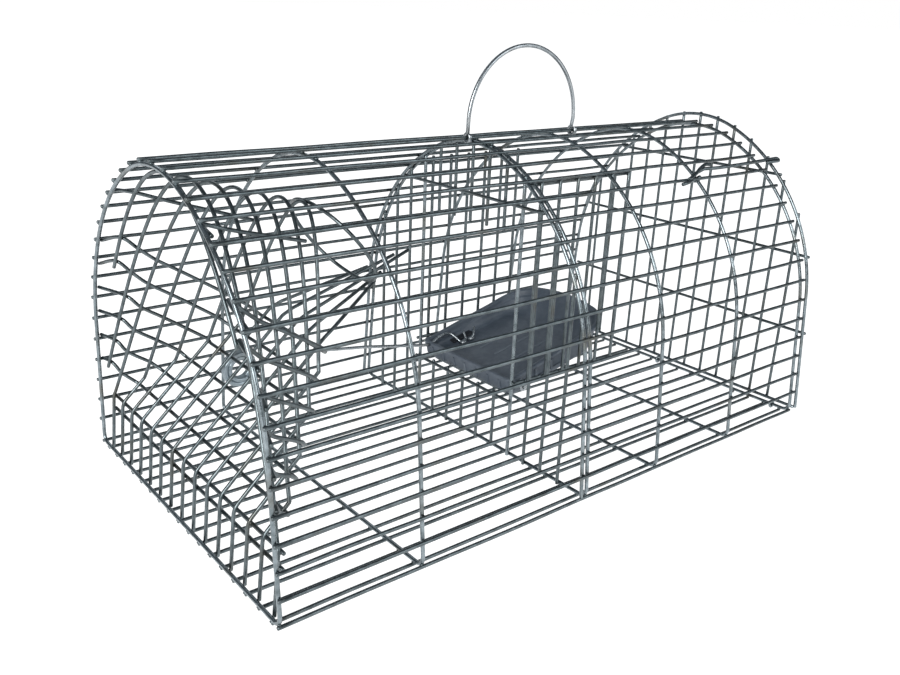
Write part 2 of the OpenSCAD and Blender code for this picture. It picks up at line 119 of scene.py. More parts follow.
def outline_at(s, grown):
    """(y, z) above the floor wires, at a distance s down the outline, grown outwards."""
    a, t = normal_at(s), s - TOP_LEN - SIDE_LEN
    if s < TOP_LEN:
        return (TOP_R + grown) * cos(a), TOP_Z + (TOP_R + grown) * sin(a)
    if t < 0:
        return SIDE_Y + (SIDE_R + grown) * cos(a), SIDE_Z + (SIDE_R + grown) * sin(a)
    if s > LEG_END:
        return CORNER_Y + (CORNER + grown) * cos(a), CORNER + (CORNER + grown) * sin(a)
    return LEG_Y + t * sin(LEAN) + grown * cos(LEAN), LEG_H - t * cos(LEAN) + grown * sin(LEAN)


def half_at(z, grown=0.0):
    """Half width of the grown outline at a height above the floor wires."""
    if z < LEG_H:
        return HALF_WIDTH - z * sin(LEAN) / cos(LEAN) + grown / cos(LEAN)
    if z < SIDE_Z + (SIDE_R + grown) * sin(SHOULDER):
        return SIDE_Y + math.sqrt((SIDE_R + grown) ** 2 - (z - SIDE_Z) ** 2)
    return math.sqrt(max(0.0, (TOP_R + grown) ** 2 - (z - TOP_Z) ** 2))


# ---------------------------------------------------------------- paths

def mirrored(half):
    """A whole path from its half on the +Y side, whose first point is on the middle plane."""
    other = [Vector((p.x, -p.y, p.z)) for p in half[1:]]
    return list(reversed(half)) + other


def rounded(path, radius, steps=5, least=9.0):
    """The path with each corner sharper than least degrees turned into a bend."""
    made = [path[0]]
    for a, b, c in zip(path, path[1:], path[2:]):
        u, v = (a - b).normalized(), (c - b).normalized()
        turn = 180 - math.degrees(u.angle(v))
        if turn < least:
            made.append(b)
            continue
        back = min(radius * math.tan(math.radians(turn) / 2), (a - b).length * 0.45, (c - b).length * 0.45)
        p, q = b + u * back, b + v * back
        for i in range(steps + 1):
            t = i / steps
            made.append(p * (1 - t) ** 2 + b * (2 * t * (1 - t)) + q * t ** 2)
    return made + [path[-1]]


def smooth(points, steps=8):
    """A curve through the points (Catmull-Rom)."""
    points = [Vector(p) for p in points]
    ext = [points[0] * 2 - points[1]] + points + [points[-1] * 2 - points[-2]]
    made = []
    for a, b, c, d in zip(ext, ext[1:], ext[2:], ext[3:]):
        for i in range(steps):
            t = i / steps
            made.append(0.5 * (2 * b + (c - a) * t + (2 * a - 5 * b + 4 * c - d) * t ** 2
                               + (3 * b - a - 3 * c + d) * t ** 3))
    return made + [points[-1]]


def arc(centre, u, v, radius, start, end, step=12.0):
    """Points on an arc in the plane of u and v."""
    count = max(2, round(abs(end - start) / step))
    turns = [start + (end - start) * i / count for i in range(count + 1)]
    return [centre + u * radius * cos(a) + v * radius * sin(a) for a in turns]


def ring_path(centre, axis, radius, count=28):
    """A closed ring about an axis."""
    u = axis.orthogonal().normalized()
    v = axis.cross(u).normalized()
    turns = [i * 360 / count for i in range(count)]
    return [centre + u * radius * cos(a) + v * radius * sin(a) for a in turns]


LONG_SPAN = 60


def bowed(a, b, rng, amount=0.22, pins=(), step=9.0, rise=1.0):
    """A straight wire from a to b that bows a little between its welds, with its height scaled by rise."""
    a, b = Vector(a), Vector(b)
    axis = (b - a).normalized()
    u = axis.orthogonal().normalized()
    v = axis.cross(u)
    length = (b - a).length
    stops = [0.0] + sorted(s for s in pins if 2 < s < length - 2) + [length]
    made = []
    for low, high in zip(stops, stops[1:]):
        aim, size = rng.uniform(0, 360), amount * rng.uniform(0.2, 1.0) * min(1.0, (high - low) / LONG_SPAN)
        count = max(2, round((high - low) / step))
        for i in range(count):
            t = i / count
            side = (u * cos(aim) + v * sin(aim)) * size * math.sin(math.pi * t) ** 2
            side.z *= rise
            made.append(a + axis * (low + (high - low) * t) + side)
    return made + [b]


def rods(node):
    """The two ends, in mm, of each straight wire in a CAD node, lowest X, Y, Z first."""
    mesh = frame["nodes"][node].data
    keys, home = {}, []
    for v in mesh.vertices:
        home.append(keys.setdefault(tuple(round(c * 1e6) for c in v.co), len(keys)))
    root = list(range(len(keys)))

    def find(i):
        while root[i] != i:
            root[i] = root[root[i]]
            i = root[i]
        return i

    for poly in mesh.polygons:
        first = find(home[poly.vertices[0]])
        for i in poly.vertices[1:]:
            root[find(home[i])] = first
    groups = {}
    for key, i in keys.items():
        groups.setdefault(find(i), []).append(key)
    ends = []
    for group in groups.values():
        points = np.array(sorted(group), float) / 1e3
        centre = (points.min(0) + points.max(0)) / 2
        axis = np.linalg.svd(points - points.mean(0), full_matrices=False)[2][0]
        axis = axis * (1 if axis[int(np.abs(axis).argmax())] > 0 else -1)
        reach = float(np.ptp(points @ axis)) / 2
        ends.append((Vector(centre - axis * reach), Vector(centre + axis * reach)))
    return sorted(ends, key=lambda e: tuple(round(c, 3) for c in e[0]))


# ---------------------------------------------------------------- mesh builders

SIDES = 12


def tube(bm, path, diameter, closed=False, sides=SIDES):
    """Adds a round wire along a path in mm. Open ends are cut square with a small chamfer."""
    points = [Vector(p) * MM for p in path]
    radius, count = diameter / 2 * MM, len(path)
    radii = [radius] * count
    if not closed:
        chamfer = radius * 0.3
        first = points[0] + (points[1] - points[0]).normalized() * chamfer
        last = points[-1] + (points[-2] - points[-1]).normalized() * chamfer
        points = [points[0], first] + points[1:-1] + [last, points[-1]]
        radii = [radius - chamfer, radius] + radii[1:-1] + [radius, radius - chamfer]
        count = len(points)
    tangents = []
    for i in range(count):
        ahead = points[(i + 1) % count] if closed else points[min(i + 1, count - 1)]
        behind = points[i - 1] if closed or i else points[0]
        tangents.append((ahead - behind).normalized())
    up = tangents[0].orthogonal().normalized()
    ups = [up]
    for a, b in zip(tangents, tangents[1:]):
        up = (a.rotation_difference(b) @ up)
        up = (up - b * up.dot(b)).normalized()
        ups.append(up)
    twist = 0.0
    if closed:
        back = tangents[-1].rotation_difference(tangents[0]) @ ups[-1]
        twist = math.atan2(tangents[0].dot(ups[0].cross(back)), ups[0].dot(back))
    rings = []
    for i, (p, t, u, r) in enumerate(zip(points, tangents, ups, radii)):
        v, lag = t.cross(u), -twist * i / count
        turns = [2 * math.pi * k / sides + lag for k in range(sides)]
        rings.append([bm.verts.new(p + (u * math.cos(a) + v * math.sin(a)) * r) for a in turns])
    pairs = list(zip(rings, rings[1:])) + ([(rings[-1], rings[0])] if closed else [])
    for low, high in pairs:
        for k in range(sides):
            m = (k + 1) % sides
            bm.faces.new((low[k], low[m], high[m], high[k])).smooth = True
    if not closed:
        bm.faces.new(list(reversed(rings[0])))
        bm.faces.new(rings[-1])


def nugget(bm, at, normal, rng, size=1.0):
    """Adds the small squashed bead of a resistance weld where two wires cross."""
    rows, cols = 4, 8
    normal = Vector(normal).normalized()
    u = normal.orthogonal().normalized()
    v = normal.cross(u)
    wide, deep = 1.25 * size * rng.uniform(0.85, 1.15), 0.75 * size * rng.uniform(0.85, 1.15)
    grid = []
    for row in range(rows + 1):
        a = -90 + 180 * row / rows
        if row in (0, rows):
            grid.append([bm.verts.new((Vector(at) + normal * deep * sin(a)) * MM)])
            continue
        ring = []
        for k in range(cols):
            b, lump = k * 360 / cols, rng.uniform(0.9, 1.1)
            side = (u * cos(b) + v * sin(b)) * wide * cos(a) * lump
            ring.append(bm.verts.new((Vector(at) + side + normal * deep * sin(a)) * MM))
        grid.append(ring)
    for low, high in zip(grid, grid[1:]):
        for k in range(cols):
            m = (k + 1) % cols
            corners = [low[k % len(low)], low[m % len(low)], high[m % len(high)], high[k % len(high)]]
            bm.faces.new(list(dict.fromkeys(corners))).smooth = True


def piece(name, bm, body, material, nodes=()):
    """Turns a bmesh into a piece that rides on a body and stands for CAD nodes."""
    bmesh.ops.recalc_face_normals(bm, faces=bm.faces)
    mesh = bpy.data.meshes.new(name)
    bm.to_mesh(mesh)
    bm.free()
    mesh.materials.append(material)
    made = bpy.data.objects.new(name, mesh)
    bpy.context.scene.collection.objects.link(made)
    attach(made, body)
    if nodes:
        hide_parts(*nodes)


# ---------------------------------------------------------------- materials

class Nodes:
    """A short way to write a material's nodes."""

    def __init__(self, name):
        self.material = bpy.data.materials.new(name)
        self.material.use_nodes = True
        self.tree = self.material.node_tree
        self.shader = self.tree.nodes["Principled BSDF"]
        self.place = self.add("ShaderNodeTexCoord").outputs["Object"]

    def add(self, kind, **inputs):
        """A new node with some of its inputs set or linked."""
        node = self.tree.nodes.new(kind)
        for key, value in inputs.items():
            self.feed(node, key, value)
        return node

    def feed(self, node, key, value):
        """Links a socket into an input, or sets a plain value there."""
        socket = node.inputs[key.replace("_", " ")]
        if isinstance(value, bpy.types.NodeSocket):
            self.tree.links.new(value, socket)
        else:
            socket.default_value = value

    def noise(self, size_mm, detail=3.0, roughness=0.55):
        """Noise whose lumps are about size_mm across."""
        node = self.add("ShaderNodeTexNoise", Vector=self.place, Scale=1000 / size_mm, Detail=detail)
        node.inputs["Roughness"].default_value = roughness
        return node.outputs["Fac"]

    def ramp(self, value, stops):
        """Colours along a value, as (place, colour) stops."""
        node = self.add("ShaderNodeValToRGB", Fac=value)
        for i, (place, colour) in enumerate(stops):
            stop = node.color_ramp.elements[i] if i < 2 else node.color_ramp.elements.new(place)
            stop.position = place
            stop.color = (*colour, 1.0)
        return node.outputs["Color"]

    def between(self, value, low, high, start=0.3, end=0.7):
        """A value from start to end turned into one from low to high."""
        node = self.add("ShaderNodeMapRange", Value=value)
        for key, number in (("From Min", start), ("From Max", end), ("To Min", low), ("To Max", high)):
            node.inputs[key].default_value = number
        return node.outputs["Result"]

    def mix(self, share, a, b):
        """Colour a turning into colour b by a share."""
        node = self.tree.nodes.new("ShaderNodeMix")
        node.data_type = "RGBA"
        sockets = [s for s in node.inputs if s.enabled]
        for socket, value in zip(sockets, (share, a, b)):
            if isinstance(value, bpy.types.NodeSocket):
                self.tree.links.new(value, socket)
            else:
                socket.default_value = (*value, 1.0) if isinstance(value, tuple) else value
        return next(s for s in node.outputs if s.enabled)

    def bump(self, height, depth_mm, strength=1.0):
        """Fine relief on the surface."""
        node = self.add("ShaderNodeBump", Height=height, Distance=depth_mm * MM, Strength=strength)
        self.tree.links.new(node.outputs["Normal"], self.shader.inputs["Normal"])


def zinc(name, dark, light, stain, roughness):
    """Zinc-plated drawn wire: cloudy bluish plating, brownish dull patches and fine pits."""
    m = Nodes(name)
    plating = m.ramp(m.noise(5.0, 4.0), [(0.3, dark), (0.72, light)])
    patches = m.between(m.noise(26.0, 3.0), 0.0, 0.75, 0.55, 0.72)
    m.feed(m.shader, "Base_Color", m.mix(patches, plating, stain))
    m.feed(m.shader, "Roughness", m.between(m.noise(2.2, 3.0), *roughness))
    m.shader.inputs["Metallic"].default_value = 1.0
    m.bump(m.noise(0.7, 4.0, 0.7), 0.05, 0.5)
    return m.material


def moulded(name, base, scuffed):
    """Slate grey moulded plastic: fine spark-eroded grain, cloudy dust and paler worn edges."""
    m = Nodes(name)
    dust = m.between(m.noise(14.0, 4.0), 0.0, 0.4, 0.48, 0.75)
    paler = tuple(c * 1.14 for c in base)
    colour = m.mix(dust, m.ramp(m.noise(30.0, 2.0), [(0.3, base), (0.7, paler)]), scuffed)
    edges = m.add("ShaderNodeNewGeometry").outputs["Pointiness"]
    m.feed(m.shader, "Base_Color", m.mix(m.between(edges, 0.0, 0.55, 0.53, 0.62), colour, scuffed))
    m.feed(m.shader, "Roughness", m.between(m.noise(3.0, 3.0), 0.42, 0.6))
    m.bump(m.noise(0.35, 2.0, 0.6), 0.03, 0.6)
    return m.material


FLOOR_GLOW = 1.0


def floor_paint(name):
    """Pale floor with a faint glow that keeps the shadows of the wires soft."""
    m = Nodes(name)
    tint = m.ramp(m.noise(60.0, 2.0), [(0.3, (0.4, 0.4, 0.4)), (0.7, (0.44, 0.44, 0.44))])
    m.feed(m.shader, "Base_Color", tint)
    m.shader.inputs["Roughness"].default_value = 0.9
    m.shader.inputs["Specular IOR Level"].default_value = 0.1
    m.shader.inputs["Emission Color"].default_value = (1, 1, 1, 1)
    m.shader.inputs["Emission Strength"].default_value = FLOOR_GLOW
    return m.material


mesh_zinc = zinc("mesh_zinc", dark=(0.075, 0.092, 0.098), light=(0.165, 0.195, 0.207),
                 stain=(0.10, 0.098, 0.085), roughness=(0.27, 0.42))
hoop_zinc = zinc("hoop_zinc", dark=(0.13, 0.158, 0.17), light=(0.30, 0.345, 0.37),
                 stain=(0.15, 0.148, 0.13), roughness=(0.22, 0.36))
handle_zinc = zinc("handle_zinc", dark=(0.26, 0.29, 0.31), light=(0.43, 0.46, 0.48),
                   stain=(0.25, 0.24, 0.22), roughness=(0.22, 0.36))
weight_zinc = zinc("weight_zinc", dark=(0.22, 0.27, 0.30), light=(0.40, 0.46, 0.50),
                   stain=(0.2, 0.21, 0.2), roughness=(0.32, 0.5))
tray_plastic = moulded("tray_plastic", (0.058, 0.075, 0.098), (0.13, 0.155, 0.185))
# near-black finish for the block that paints the shade at the foot of the tray's far wall
slot_shadow = moulded("slot_shadow", (0.012, 0.014, 0.018), (0.02, 0.024, 0.03))


# ---------------------------------------------------------------- the cage's shell

def shell():
    """Lengthwise wires of the roof, sides and floor, each welded to all the hoops.

    The floor's wires bow only sideways, so that they stay on the ground.
    """
    rng = random.Random(11)
    for node in ("roof_wires", "near_side_wires", "far_side_wires", "floor_line_wires"):
        bm = bmesh.new()
        for a, b in rods(node):
            pins = [x - a.x for x in HOOP_X]
            on_ridge, on_floor = abs(a.y) < 0.1 and a.z > HEIGHT, a.z <= FLOOR_Z
            path = bowed(a, b, rng, 0.1 if on_ridge else 0.45, pins, rise=0.0 if on_floor else 1.0)
            tube(bm, path, WIRE)
        piece(f"{node}_drawn", bm, "cage", mesh_zinc, [node])


def outline_half(grown, step=3.0):
    """Points (y, z) down the outline from the ridge to the end of the leg."""
    count = round(LEG_END / step)
    return [outline_at(LEG_END * i / count, grown) for i in range(count + 1)]


def hoops():
    """The six closed hoops: outline, rounded corner and floor wire."""
    half = outline_half(0)
    corner = [LEAN + (-90 - LEAN) * i / 8 for i in range(1, 9)]
    half += [(CORNER_Y + CORNER * cos(a), CORNER + CORNER * sin(a)) for a in corner]
    for i, x in enumerate(HOOP_X, 1):
        right = [Vector((x, y, FLOOR_Z + z)) for y, z in half]
        left = [Vector((p.x, -p.y, p.z)) for p in reversed(right[1:])]
        bm = bmesh.new()
        tube(bm, right + left, HOOP, closed=True)
        piece(f"hoop_{i}_drawn", bm, "cage", hoop_zinc, [f"hoop_{i}"])


def arch(x, grown, foot_z, lift=0.0):
    """Arched rim that follows the outline down to its feet."""
    half = outline_half(grown) + [(half_at(foot_z - lift, grown), foot_z - lift)]
    return mirrored([Vector((x, y, FLOOR_Z + lift + z)) for y, z in half])


# ---------------------------------------------------------------- entrance funnel

# Arches are numbered up the ramp from 0. The short ones in front of them have numbers below 0.
ARCHES, SHORT, SHORT_BACK = 7, 2, 0.4
LAST_ARCH = ARCHES - 1 - SHORT
MOUTH_HALF = HALF_WIDTH - 9.5
SILL, DEPTH, RISE = 32.0, 83.0, 78.0
MOUTH_X = FRONT_X + WELD
KNEE_X = MOUTH_X + 3
STEP = DEPTH / (ARCHES - 1)
# where the arches' tops lie: spacing against the ramp's, first drop below the roof and fall to the last one
RIDGE_SHARE, RIDGE_DROP, RIDGE_FALL = 0.87, 3.5, 20.6
# how late an arch leans back on its way up
ARCH_PEAK = 2.3
FOOT_DROP = 0.8
RAMP = Vector((DEPTH, 0, RISE))
RAMP_LEN = RAMP.length
RAMP_DIR = RAMP.normalized()
RAMP_DOWN = Vector((RISE, 0, -DEPTH)).normalized()
# cross wires: spacing up the ramp and count, rise of the side wires towards the mouth, last rise at the hoop
CROSS_GAP, CROSS_ROWS, SIDE_RISE, MOUTH_RISE = 14.4, 6, 0.49, 6.0
# drop of the upper cross wire below the arches' tops, and first row that passes every short arch
UPPER_DROP, LONG_ROW = 17.5, 5


def arch_y(k):
    """Half width of the funnel at arch k."""
    return MOUTH_HALF * (1 - k / ARCHES)


def crease(k, side=1):
    """Where arch k leaves the ramp."""
    x, z = KNEE_X + STEP * max(k, -SHORT_BACK), FLOOR_Z + SILL + RISE * k / (ARCHES - 1)
    return Vector((x, side * arch_y(k), z))


def ridge(k):
    """Top of arch k."""
    n = k + SHORT
    drop = RIDGE_DROP + RIDGE_FALL * n / (ARCHES - 1)
    return Vector((KNEE_X + RIDGE_SHARE * STEP * n, 0, FLOOR_Z + HEIGHT - drop))


def funnel_at(k, turn, side=1):
    """Point on arch k, from 0 degrees at the ramp to 90 at its top."""
    c, r, u = crease(k), ridge(k), max(0.0, sin(turn)) ** ARCH_PEAK
    return Vector((c.x + (r.x - c.x) * u, side * c.y * cos(turn), c.z + (r.z - c.z) * u))


def turn_at(k, z):
    """The turn at which arch k reaches a height."""
    u = (z - crease(k).z) / (ridge(k).z - crease(k).z)
    return math.degrees(math.asin(min(1.0, max(0.0, u)) ** (1 / ARCH_PEAK)))


def skin_normal(k, turn):
    """Outward direction of the surface that the arches span."""
    a = funnel_at(k, min(turn + 2, 89)) - funnel_at(k, max(turn - 2, 1))
    b = funnel_at(k + 0.5, turn) - funnel_at(k - 0.5, turn)
    return a.cross(b).normalized()


def cross_k(j):
    """Place of cross row j, counted in arches."""
    return CROSS_GAP * j / RAMP_LEN * (ARCHES - 1)


def side_height(j, k):
    """Height of cross wire j where it passes arch k."""
    if j > CROSS_ROWS:
        return ridge(k).z - UPPER_DROP
    return crease(cross_k(j)).z + (cross_k(j) - k) * SIDE_RISE * STEP


def foot_turn(k):
    """Where short arch k stops, a little below its lowest cross wire."""
    return turn_at(k, side_height(1 if k == -1 else LONG_ROW, k) - 3)


def side_cross(j, side):
    """Cross wire j of the side face, from the ramp's edge out to the mouth hoop."""
    path = []
    first = LAST_ARCH - 1 if j > CROSS_ROWS else math.floor(cross_k(j))
    for k in range(first, (-1 if j < LONG_ROW else -SHORT) - 1, -1):
        turn = turn_at(k, side_height(j, k))
        p = funnel_at(k, turn) + skin_normal(k, turn) * MESH_WELD
        path.append(Vector((p.x, side * p.y, p.z)))
    z = side_height(j, -SHORT) if j > CROSS_ROWS else side_height(j, -0.3) + MOUTH_RISE
    return path + [Vector((FRONT_X + WELD, side * (half_at(z - FLOOR_Z) + 0.6), z))]


def funnel_arch(k):
    """Arch k: the short ones hang in the mouth, the others run down the ramp and the sill."""
    low = foot_turn(k) if k < 0 else 7.5
    half = [ridge(k)] + [funnel_at(k, t) for t in np.linspace(90, low, 34)[1:]]
    if k >= 0:
        half += [crease(k)] if k else []
        half += [Vector((KNEE_X, arch_y(k), FLOOR_Z + SILL))]
        half += [Vector((MOUTH_X, arch_y(k), FLOOR_Z - FOOT_DROP))]
    return rounded(mirrored(half), 9.0)


# how far each prong runs past its turn, from the near side to the far one
PRONG_REACH = [45, 52, 74, 67, 52]
PRONG_GAP, PRONG_RISE, PRONG_TAPER, PRONG_BEND = MOUTH_HALF / ARCHES, 0.4, 0.3, 6
PRONG_TURN = Vector((crease(LAST_ARCH + 0.85).x, 0, crease(LAST_ARCH + 0.85).z))


def prong(i):
    """Prong i: up the sill and the ramp, then on towards the throat ring, drawn together at the tip."""
    y, reach = (i - 2) * PRONG_GAP, PRONG_REACH[i]
    return [Vector((MOUTH_X, y, FLOOR_Z - FOOT_DROP)), Vector((KNEE_X, y, FLOOR_Z + SILL)),
            PRONG_TURN + Vector((0, y, 0)),
            PRONG_TURN + Vector((PRONG_BEND, y * 0.95, PRONG_BEND * PRONG_RISE + 0.9)),
            PRONG_TURN + Vector((reach, y * PRONG_TAPER, reach * PRONG_RISE + 0.6))]


RING_PLACE, RING_W = 40, 33
RING_TOP = ridge(LAST_ARCH) + Vector((MESH_WELD - 0.1, 0, 0.2))
RING_FOOT = PRONG_TURN + Vector((RING_PLACE, 0, RING_PLACE * PRONG_RISE + MESH_WELD + 0.8))


def funnel():
    """The entrance funnel: arches, prongs, cross wires and throat ring."""
    for n in range(1, ARCHES + 1):
        bm = bmesh.new()
        tube(bm, funnel_arch(n - 1 - SHORT), WIRE)
        piece(f"funnel_arch_{n}_drawn", bm, "cage", mesh_zinc, [f"funnel_arch_{n}"])

    bm = bmesh.new()
    tube(bm, rounded(prong(2), 9.0), WIRE)
    piece("funnel_middle_wire_drawn", bm, "cage", mesh_zinc, ["funnel_middle_wire"])

    bm = bmesh.new()
    for i in (0, 1, 3, 4):
        tube(bm, rounded(prong(i), 8.0, least=4.0), WIRE)
    piece("funnel_prongs_drawn", bm, "cage", mesh_zinc, ["funnel_prongs"])

    # each cross wire is one bent wire from the mouth hoop, down a side face, over the ramp and out again
    bm, rng = bmesh.new(), random.Random(12)
    sill_rods = [(a, b) for a, b in rods("funnel_ramp_wires") if a.z < FLOOR_Z + SILL]
    for a, b in sill_rods:
        tube(bm, bowed(a, b, rng, 0.2), WIRE)
    for j in range(1, CROSS_ROWS + 1):
        low = Vector((KNEE_X, 0, FLOOR_Z + SILL)) + RAMP_DIR * CROSS_GAP * j + RAMP_DOWN * MESH_WELD
        half = arch_y(cross_k(j)) + 0.3
        across = [low + Vector((0, y, 0)) for y in np.linspace(half, -half, 9)]
        far, near = smooth(side_cross(j, 1), 5), smooth(side_cross(j, -1), 5)
        tube(bm, rounded(list(reversed(far)) + across + near, 5.0, 4, 12.0), WIRE)
    for side in (-1, 1):
        upper = side_cross(CROSS_ROWS + 1, side)
        past = upper[0] + (upper[0] - upper[1]).normalized() * 3
        tube(bm, smooth([past] + upper, 5), WIRE)
    piece("funnel_cross_wires_drawn", bm, "cage", mesh_zinc,
          ["funnel_ramp_wires", "funnel_side_wires"])

    centre, half = (RING_TOP + RING_FOOT) / 2, (RING_TOP - RING_FOOT) / 2
    bm = bmesh.new()
    turns = [t * 6 for t in range(60)]
    tube(bm, [centre + half * cos(t) + Vector((0, RING_W * sin(t), 0)) for t in turns], WIRE, closed=True)
    piece("throat_ring_drawn", bm, "cage", mesh_zinc, ["throat_ring"])


# ---------------------------------------------------------------- partition, guard and door

def rod_set(name, node, body, material, diameter, rng, amount=0.2):
    """The straight wires of one CAD node as one drawn piece."""
    bm = bmesh.new()
    for a, b in rods(node):
        tube(bm, bowed(a, b, rng, amount), diameter)
    piece(name, bm, body, material, [node])


def partition():
    """Partition with its doorway, and the guard panels behind it."""
    rng = random.Random(13)
    bm = bmesh.new()
    tube(bm, arch(middle("partition_rim").x, 0, 1), HOOP)
    piece("partition_rim_drawn", bm, "cage", hoop_zinc, ["partition_rim"])
    rod_set("partition_posts_drawn", "partition_posts", "cage", hoop_zinc, HOOP, rng, 0.1)
    for node in ("partition_uprights", "partition_bars", "near_guard_rails", "far_guard_rails",
                 "near_guard_wires", "far_guard_wires"):
        rod_set(f"{node}_drawn", node, "cage", mesh_zinc, WIRE, rng)


DOOR_OVERLAP, DOOR_LIFT = 2.0, 5.0
DOOR_FOOT = middle("door_rail").z - FLOOR_Z


def door():
    """Rear door: rim, rail, uprights and cross wires."""
    rng = random.Random(14)
    bm = bmesh.new()
    tube(bm, arch(middle("door_rim").x, DOOR_OVERLAP, DOOR_FOOT, DOOR_LIFT), HOOP)
    piece("door_rim_drawn", bm, "rear_door", hoop_zinc, ["door_rim"])
    rod_set("door_rail_drawn", "door_rail", "rear_door", hoop_zinc, HOOP, rng, 0.0)
    for node in ("door_upright_wires", "door_cross_wires"):
        rod_set(f"{node}_drawn", node, "rear_door", mesh_zinc, WIRE, rng, 0.3)


# ---------------------------------------------------------------- latch and handle

LATCH_TURN = normal_at(OUTLINE_LEN * 4.77 / SIDE_SPACES)
FIT_GAP = 0.3
LATCH_RING = (HOOP + WIRE) / 2 + FIT_GAP
HOOK_BEND = 2.5
LATCH_WIRE = 2.3
ROD_LIFT = 5.2
# the winding starts on the front side, and creeps round the hoop as it turns
WIND_FROM, WIND_TO, WIND_START, WIND_CREEP = -90, 360, 2.3, 4.2
DOOR_X = middle("door_rim").x
HOOK_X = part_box("door_latch")[1].x / MM - WIRE / 2
LATCH_LIFT = DOOR_OVERLAP + DOOR_LIFT * sin(LATCH_TURN) + (HOOP + WIRE) / 2 + 0.9


def latch():
    """Spring wire turned round the fifth hoop, curled at its tail and doubled back past the door rim."""
    at = joint_at("latch_lift")
    out = Vector((0, -cos(LATCH_TURN), sin(LATCH_TURN)))
    along = Vector((1, 0, 0))
    down = Vector((0, -sin(LATCH_TURN), -cos(LATCH_TURN)))
    run = HOOK_X - HOOK_BEND - at.x

    def spot(forward, lifted, lowered=0.0):
        """A place along the roof from the fifth hoop, out from the outline and down round it."""
        return at + along * forward + out * lifted + down * lowered

    creep = WIND_CREEP / (WIND_TO - WIND_FROM)
    wind = [spot(LATCH_RING * sin(a), LATCH_RING * cos(a), WIND_START - creep * a)
            for a in range(WIND_FROM, WIND_TO + 1, 15)]
    tail = [spot(-21, LATCH_RING + 0.6, 6.6), spot(-14, 3.4, 5.8), spot(-8, 1.8, 3.8)]
    rise = [spot(7, LATCH_RING + 2.0, -2.2), spot(20, 5.4, -0.9)]
    rod = [spot(run * share, ROD_LIFT + (LATCH_LIFT - ROD_LIFT) * share) for share in (0.5, 0.75)]
    end, half_gap = spot(run, LATCH_LIFT), LATCH_WIRE / 2
    turn = arc(end + down * half_gap, -down, along, half_gap, 0, 180, 18)
    back = [end + down * LATCH_WIRE - along * 6, end + down * LATCH_WIRE - along * 13 - out * 0.4]
    bm = bmesh.new()
    tube(bm, smooth(tail + wind, 2) + smooth(rise + rod + [end - along * 2], 6) + turn + back, LATCH_WIRE)
    curl = [spot(16, 4.6, -4.6), spot(11, 5.0, -5.0), spot(5, 4.4, -3.2), spot(-1, 3.6, -0.4),
            spot(-7, 3.0, 2.0), spot(-12, 3.4, 3.6)]
    tube(bm, smooth(curl, 6), LATCH_WIRE)
    piece("door_latch_bent", bm, "latch", mesh_zinc, ["door_latch"])


HANDLE_LEG = 8.0
EYE_TWIST = 0.8


def handle():
    """Carry handle: a bow whose legs end in open eyes round the ridge wire."""
    low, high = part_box("carry_handle")
    at = joint_at("handle_swing")
    half = (high.x - low.x) / 2 / MM - HANDLE / 2
    eye = (WIRE + HANDLE) / 2 + FIT_GAP
    up, along, aside = Vector((0, 0, 1)), Vector((1, 0, 0)), Vector((0, 1, 0))
    bm = bmesh.new()
    bow = arc(at + up * HANDLE_LEG, along, up, half, 180, 0, 4)
    eyes = [arc(at + along * half * side, up, aside, eye, 325, 15, 14) for side in (-1, 1)]
    left = [p - along * (0.5 - i / len(eyes[0])) * EYE_TWIST for i, p in enumerate(eyes[0])]
    right = [p + along * (0.5 - i / len(eyes[1])) * EYE_TWIST for i, p in enumerate(eyes[1])]
    tube(bm, rounded(left + bow + list(reversed(right)), 2.0, least=25.0), HANDLE)
    piece("carry_handle_bent", bm, "handle", handle_zinc, ["carry_handle"])


# ---------------------------------------------------------------- treadle

PIVOT = joint_at("treadle_tilt")
TILT = 12.3
TRAY_LENGTH, TRAY_HALF, TRAY_WALL = 79.0, 42.0, 2.4
# rim heights at the front and the rear crest, corner radius at the rear, and where the rim starts to rise
TRAY_LOW, TRAY_HIGH, TRAY_ROUND, TRAY_LIP = 10.0, 18.0, 17.0, 6.0
# the rim's slow rise to the dip, its steep rise at the rear corners, and both places as shares of the length
TRAY_SLOW, TRAY_STEEP, TRAY_DIP, TRAY_CREST = 3.0, 1.5, 0.78, 0.95
# lean of the rear wall at its sides, and what is added in its middle
FLARE_SIDE, FLARE_MIDDLE = 0.75, 0.17
TRAY_FRONT = PIVOT + Vector((-5.6, 0, -6))


def on_tray(x, y, z):
    """A place in the tray's own tilted frame, whose origin is its front floor edge."""
    return TRAY_FRONT + Vector((x * cos(TILT) - z * sin(TILT), y, x * sin(TILT) + z * cos(TILT)))


def eased(value, low, high):
    """Share of the way from low to high, with a soft start and end."""
    t = min(1.0, max(0.0, (value - low) / (high - low)))
    return t * t * (3 - 2 * t)


def inwards(y):
    """0 at the tray's sides, 1 in its middle."""
    return 1 - (y / TRAY_HALF) ** 2


def rim_height(x, y=TRAY_HALF):
    """Height of the tray's rim: a slow rise to the dip, then a steep one to the crest at the rear."""
    dip, crest = TRAY_LENGTH * TRAY_DIP, TRAY_LENGTH * TRAY_CREST
    slow = TRAY_SLOW * min(1.0, max(0.0, (x - TRAY_LIP) / (dip - TRAY_LIP)))
    steep = TRAY_STEEP + (TRAY_HIGH - TRAY_LOW - TRAY_SLOW - TRAY_STEEP) * inwards(y)
    return TRAY_LOW + slow + steep * eased(x, dip - 7, crest)


